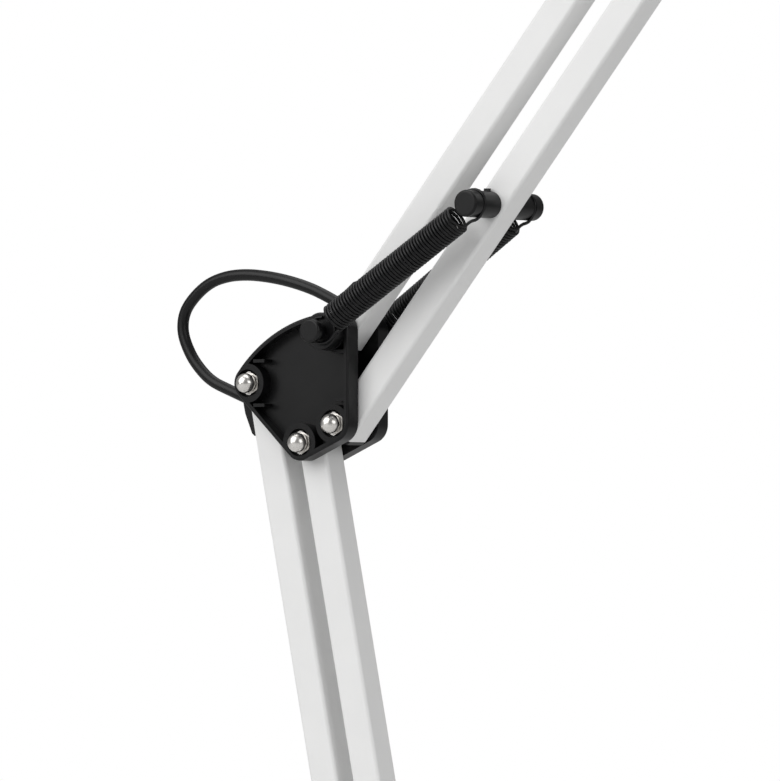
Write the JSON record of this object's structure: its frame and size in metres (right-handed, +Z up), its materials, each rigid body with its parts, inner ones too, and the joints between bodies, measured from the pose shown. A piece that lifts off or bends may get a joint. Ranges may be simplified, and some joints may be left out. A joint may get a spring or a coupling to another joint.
{
  "type": "desk lamp",
  "caption": "Balanced-arm desk lamp: weighted round base, two parallelogram arms of square tube with side springs, moulded joint plates and a bell shade on a tilting yoke.",
  "frame": {"origin": "centre of the base's underside, on the table", "axes": "+Z up, +X from the base towards the shade, hinge lines along Y, and the front with the nuts and the knob faces -Y"},
  "size_m": [0.6127, 0.2338, 0.8116],
  "materials": {
    "white_enamel": "satin white powder coat",
    "black_moulding": "fine satin moulded",
    "black_enamel": "satin black powder coat",
    "nickel": "bright nickel plate",
    "iron": "as cast",
    "pad_rubber": "matt",
    "spring_black": "black-coated spring wire",
    "cable_black": "smooth satin sheath",
    "plug_black": "satin moulded",
    "pin_brass": "bright",
    "bulb_frosted": "frosted",
    "bulb_metal": "rolled thread"
  },
  "bodies": {
    "base": {"base_cover": "white_enamel", "base_weight": "iron", "base_pad": "pad_rubber", "base_screws": "nickel", "base_socket": "black_moulding", "base_cable_relief": "cable_black", "base_cable": "cable_black", "mains_lead": "cable_black", "mains_coil": "cable_black", "mains_plug": "plug_black", "plug_pins": "pin_brass"},
    "swivel": {"swivel_spindle": "nickel", "foot_block": "black_enamel", "foot_plate_front": "black_moulding", "foot_plate_rear": "black_moulding", "foot_bolts": "nickel", "foot_nuts": "nickel", "foot_spring_pegs": "black_moulding", "foot_loop": "cable_black"},
    "lower_rear": {"lower_tube_rear": "white_enamel", "lower_rear_inserts": "black_moulding", "lower_cable": "cable_black", "lower_cable_tongues": "black_moulding", "elbow_loop_lower": "cable_black"},
    "lower_front": {"lower_tube_front": "white_enamel", "lower_front_inserts": "black_moulding", "foot_spring_posts": "black_moulding"},
    "elbow": {"elbow_plate_front": "black_moulding", "elbow_plate_rear": "black_moulding", "elbow_bolts": "nickel", "elbow_nuts": "nickel", "elbow_spring_pegs": "black_moulding"},
    "upper_rear": {"upper_tube_rear": "white_enamel", "upper_rear_inserts": "black_moulding", "upper_cable": "cable_black", "upper_cable_tongues": "black_moulding", "elbow_loop_upper": "cable_black"},
    "upper_front": {"upper_tube_front": "white_enamel", "upper_front_inserts": "black_moulding", "elbow_spring_posts": "black_moulding"},
    "elbow_springs": {"elbow_springs": "spring_black"},
    "elbow_spring_ends": {"elbow_spring_hooks": "spring_black"},
    "foot_springs": {"foot_springs": "spring_black"},
    "foot_spring_ends": {"foot_spring_hooks": "spring_black"},
    "head_bracket": {"head_plate_front": "black_moulding", "head_plate_rear": "black_moulding", "head_bolts": "nickel", "head_nuts": "nickel", "tilt_knob": "black_moulding", "head_grommet": "black_moulding", "head_loop": "cable_black"},
    "head_yoke": {"head_yoke": "black_enamel"},
    "shade": {"shade_bell": "white_enamel", "shade_cap": "white_enamel", "shade_stem": "nickel", "stem_nut": "nickel", "lampholder": "black_moulding", "bulb_glass": "bulb_frosted", "bulb_cap": "bulb_metal", "switch_housing": "black_moulding"},
    "switch": {"switch_button": "black_moulding"}
  },
  "joints": [
    {"name": "base_swivel", "type": "hinge", "parent": "base", "child": "swivel", "pos_m": [0, 0, 0.034], "axis": [0, 0, 1], "range_deg": [-165, 165]},
    {"name": "lower_arm_tilt", "type": "hinge", "parent": "swivel", "child": "lower_rear", "pos_m": [-0.012, 0, 0.09001], "axis": [0, -1, 0], "range_deg": [-60, 12], "deforming": ["foot_loop"]},
    {"name": "lower_front_tilt", "type": "hinge", "parent": "swivel", "child": "lower_front", "pos_m": [0.0116, 0, 0.06761], "axis": [0, -1, 0], "range_deg": [-60, 12]},
    {"name": "elbow_level", "type": "hinge", "parent": "lower_rear", "child": "elbow", "pos_m": [-0.08561, 0, 0.46281], "axis": [0, -1, 0], "range_deg": [-12, 60], "deforming": ["elbow_loop_lower"]},
    {"name": "upper_arm_tilt", "type": "hinge", "parent": "elbow", "child": "upper_rear", "pos_m": [-0.04871, 0, 0.48161], "axis": [0, -1, 0], "range_deg": [-60, 12], "deforming": ["elbow_loop_upper"]},
    {"name": "upper_front_tilt", "type": "hinge", "parent": "elbow", "child": "upper_front", "pos_m": [-0.04701, 0, 0.44731], "axis": [0, -1, 0], "range_deg": [-60, 12]},
    {"name": "head_level", "type": "hinge", "parent": "upper_rear", "child": "head_bracket", "pos_m": [0.19223, 0, 0.77546], "axis": [0, -1, 0], "range_deg": [-12, 60], "deforming": ["head_loop"]},
    {"name": "foot_spring_swing", "type": "hinge", "parent": "swivel", "child": "foot_springs", "pos_m": [-0.012, 0, 0.09001], "axis": [0, -1, 0], "range_deg": [-65, 13.1]},
    {"name": "foot_spring_stretch", "type": "slide", "parent": "foot_springs", "child": "foot_spring_ends", "axis": [0.0445, 0, 0.999], "range_m": [-0.006, 0.0299], "deforming": ["foot_springs", "foot_spring_hooks"]},
    {"name": "elbow_spring_swing", "type": "hinge", "parent": "elbow", "child": "elbow_springs", "pos_m": [-0.04871, 0, 0.48161], "axis": [0, -1, 0], "range_deg": [-62.5, 12.6]},
    {"name": "elbow_spring_stretch", "type": "slide", "parent": "elbow_springs", "child": "elbow_spring_ends", "axis": [0.827, 0, 0.5622], "range_m": [-0.0067, 0.033], "deforming": ["elbow_springs", "elbow_spring_hooks"]},
    {"name": "head_tilt", "type": "hinge", "parent": "head_bracket", "child": "head_yoke", "pos_m": [0.22623, 0, 0.75846], "axis": [0, -1, 0], "range_deg": [-25, 60]},
    {"name": "shade_roll", "type": "hinge", "parent": "head_yoke", "child": "shade", "pos_m": [0.26623, 0, 0.75846], "axis": [1, 0, 0], "range_deg": [-75, 75]},
    {"name": "switch_press", "type": "slide", "parent": "shade", "child": "switch", "axis": [0, 0, -1], "range_m": [0, 0.0017], "stiffness_N_per_m": 400}
  ],
  "couplings": [
    {"joint": "lower_front_tilt", "follows": "lower_arm_tilt", "ratio": 1},
    {"joint": "elbow_level", "follows": "lower_arm_tilt", "ratio": -1},
    {"joint": "upper_front_tilt", "follows": "upper_arm_tilt", "ratio": 1},
    {"joint": "head_level", "follows": "upper_arm_tilt", "ratio": -1},
    {"joint": "foot_spring_swing", "follows": "lower_arm_tilt", "ratio": 1.08},
    {"joint": "foot_spring_stretch", "follows": "lower_arm_tilt", "m_per_rad": -0.02836},
    {"joint": "elbow_spring_swing", "follows": "upper_arm_tilt", "ratio": 1.035},
    {"joint": "elbow_spring_stretch", "follows": "upper_arm_tilt", "m_per_rad": -0.03123}
  ]
}
